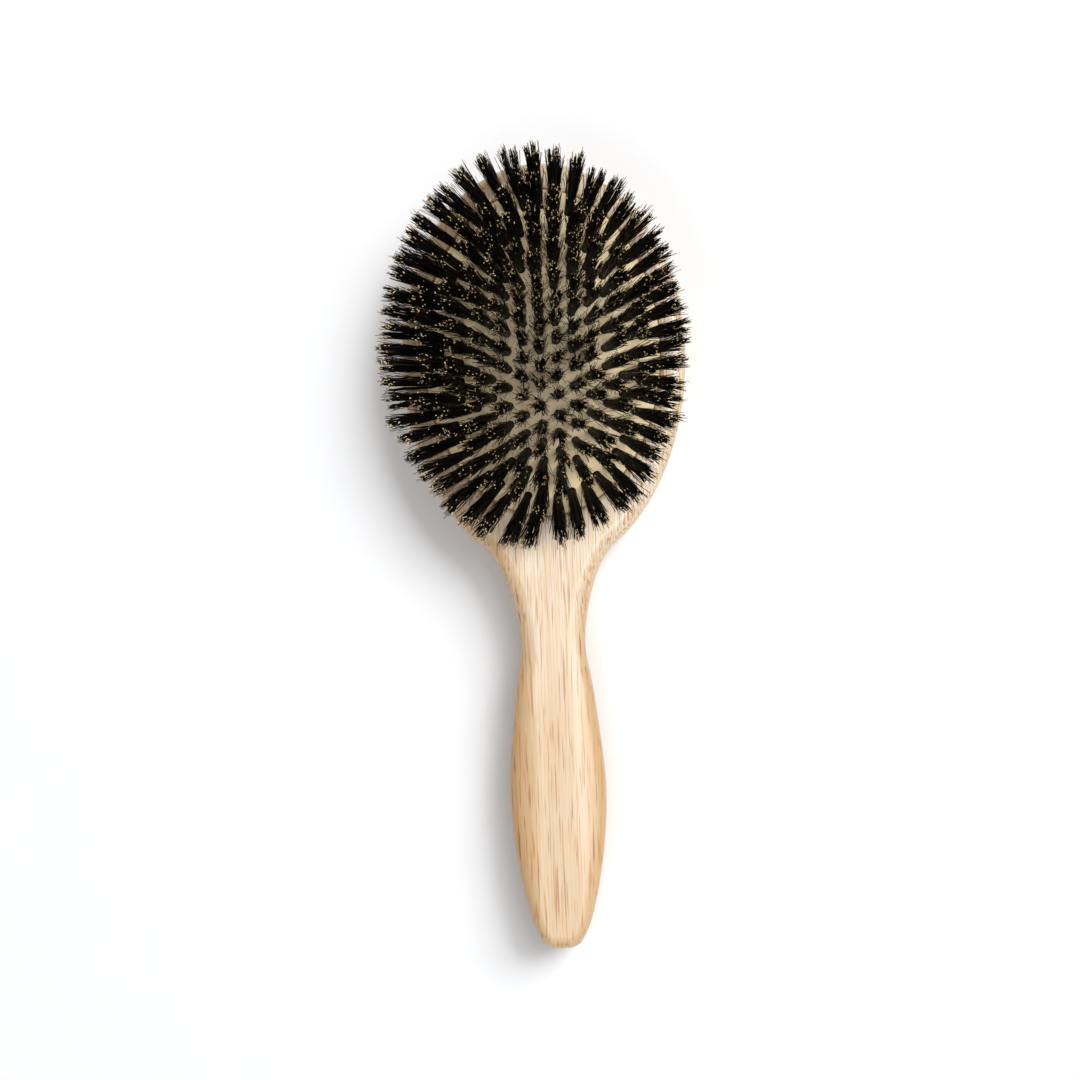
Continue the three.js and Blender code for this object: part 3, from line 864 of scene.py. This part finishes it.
def floor_material():
    material, tree, shader = new_material("pale_floor")
    grain = noise(tree, stretched(tree, (1.0, 1.0, 1.0)), 60.0, 2.0)
    colour = ramp(tree, grain, [(0.3, (0.93, 0.94, 0.955)), (0.7, (0.945, 0.955, 0.97))])
    tree.links.new(colour, shader.inputs["Base Color"])
    shader.inputs["Roughness"].default_value = 0.9
    shader.inputs["Specular IOR Level"].default_value = 0.0
    return material


# Soft boxes in a bright room: azimuth and elevation in degrees, width in metres, the brightness that each
# gives a white surface lying flat, what it lights, and the only group that shades it, if there is one.
# The floor has boxes of its own, so that the shadow on it can be deep while light still reaches the rubber
# between the tufts. Only the wood shades the low one, so that the head's shadow isn't much wider than the
# handle's.
SOFT_BOXES = {
    "floor_low": (36.0, 43.0, 1.6, 0.46, "floor", "wood"),
    "floor_high": (36.0, 62.0, 1.6, 0.24, "floor", None),
    "floor_fill": (245.0, 64.0, 1.4, 0.15, "floor", None),
    "brush_key": (12.0, 53.0, 0.9, 0.42, "brush", None),
    "brush_top": (0.0, 80.0, 1.4, 0.66, "brush", None),
}
BOX_DISTANCE = 3.2
ROOM_BRIGHTNESS = 0.33


def light_group(name, pieces):
    group = bpy.data.collections.new(name)
    for piece in pieces:
        group.objects.link(piece)
    return group


def make_light(members):
    """The room and the soft boxes; members holds the pieces of each group that they name."""
    world = bpy.data.worlds.new("studio")
    world.use_nodes = True
    world.node_tree.nodes["Background"].inputs["Color"].default_value = (1.0, 1.0, 1.0, 1.0)
    world.node_tree.nodes["Background"].inputs["Strength"].default_value = ROOM_BRIGHTNESS
    bpy.context.scene.world = world
    groups = {name: light_group(f"light_{name}", pieces) for name, pieces in members.items()}
    for name, (azimuth, elevation, width, brightness, target, shade) in SOFT_BOXES.items():
        turn, rise = math.radians(azimuth), math.radians(elevation)
        level = BOX_DISTANCE * math.cos(rise)
        data = bpy.data.lights.new(name, "AREA")
        data.shape = "SQUARE"
        data.size = width
        data.energy = math.pi**2 * brightness * BOX_DISTANCE**2 / math.sin(rise)
        lamp = bpy.data.objects.new(name, data)
        lamp.location = (level * math.cos(turn), level * math.sin(turn), BOX_DISTANCE * math.sin(rise))
        lamp.rotation_euler = (-Vector(lamp.location)).to_track_quat("-Z", "Y").to_euler()
        lamp.light_linking.receiver_collection = groups[target]
        if shade:
            lamp.light_linking.blocker_collection = groups[shade]
        bpy.context.scene.collection.objects.link(lamp)
    bpy.context.scene.view_settings.view_transform = "Standard"


# The view: nearly square to the floor, a little from the right, with the head's crown leaning left.
CAMERA_DISTANCE = 0.65
VIEW_WIDTH = 0.3285  # across the picture at the level of the wooden face
VIEW_TILT = 3.8
VIEW_TURN = 2.0
VIEW_CENTRE = (-2.45, -57.0)


def make_camera():
    data = bpy.data.cameras.new("camera")
    data.sensor_width = 36.0
    data.lens = data.sensor_width * CAMERA_DISTANCE / VIEW_WIDTH
    data.clip_start, data.clip_end = 0.01, 20.0
    camera = bpy.data.objects.new("camera", data)
    target = Vector(in_frame((*VIEW_CENTRE, WOOD_TOP)))
    tilt = Matrix.Rotation(math.radians(VIEW_TILT), 4, "Y")
    turn = Matrix.Rotation(math.radians(-VIEW_TURN), 4, "Z")
    back = Matrix.Translation((0, 0, CAMERA_DISTANCE))
    camera.matrix_world = Matrix.Translation(target) @ tilt @ turn @ back
    bpy.context.scene.collection.objects.link(camera)
    bpy.context.scene.camera = camera


# ---- Assembly ----
make_camera()
FLOOR = make_floor()
GROUPS = tuft_groups()
FEET = np.concatenate(list(GROUPS.values()))
WOOD = make_wooden_body(wood_material())
CUSHION = make_cushion(rubber_material(), FEET)
BRISTLES = [bristle_material(), split_end_material()]
STEEL = steel_material()
for number, (group, group_feet) in enumerate(GROUPS.items()):
    make_tufts(group, group_feet, BRISTLES, 100 + number)
    make_wire(group, group_feet, STEEL)
make_liner(felt_material())

BRUSH = [piece for piece in bpy.context.scene.objects if piece.type == "MESH" and piece is not FLOOR]
make_light({"floor": [FLOOR], "wood": [WOOD], "brush": BRUSH})

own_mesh(CUSHION)
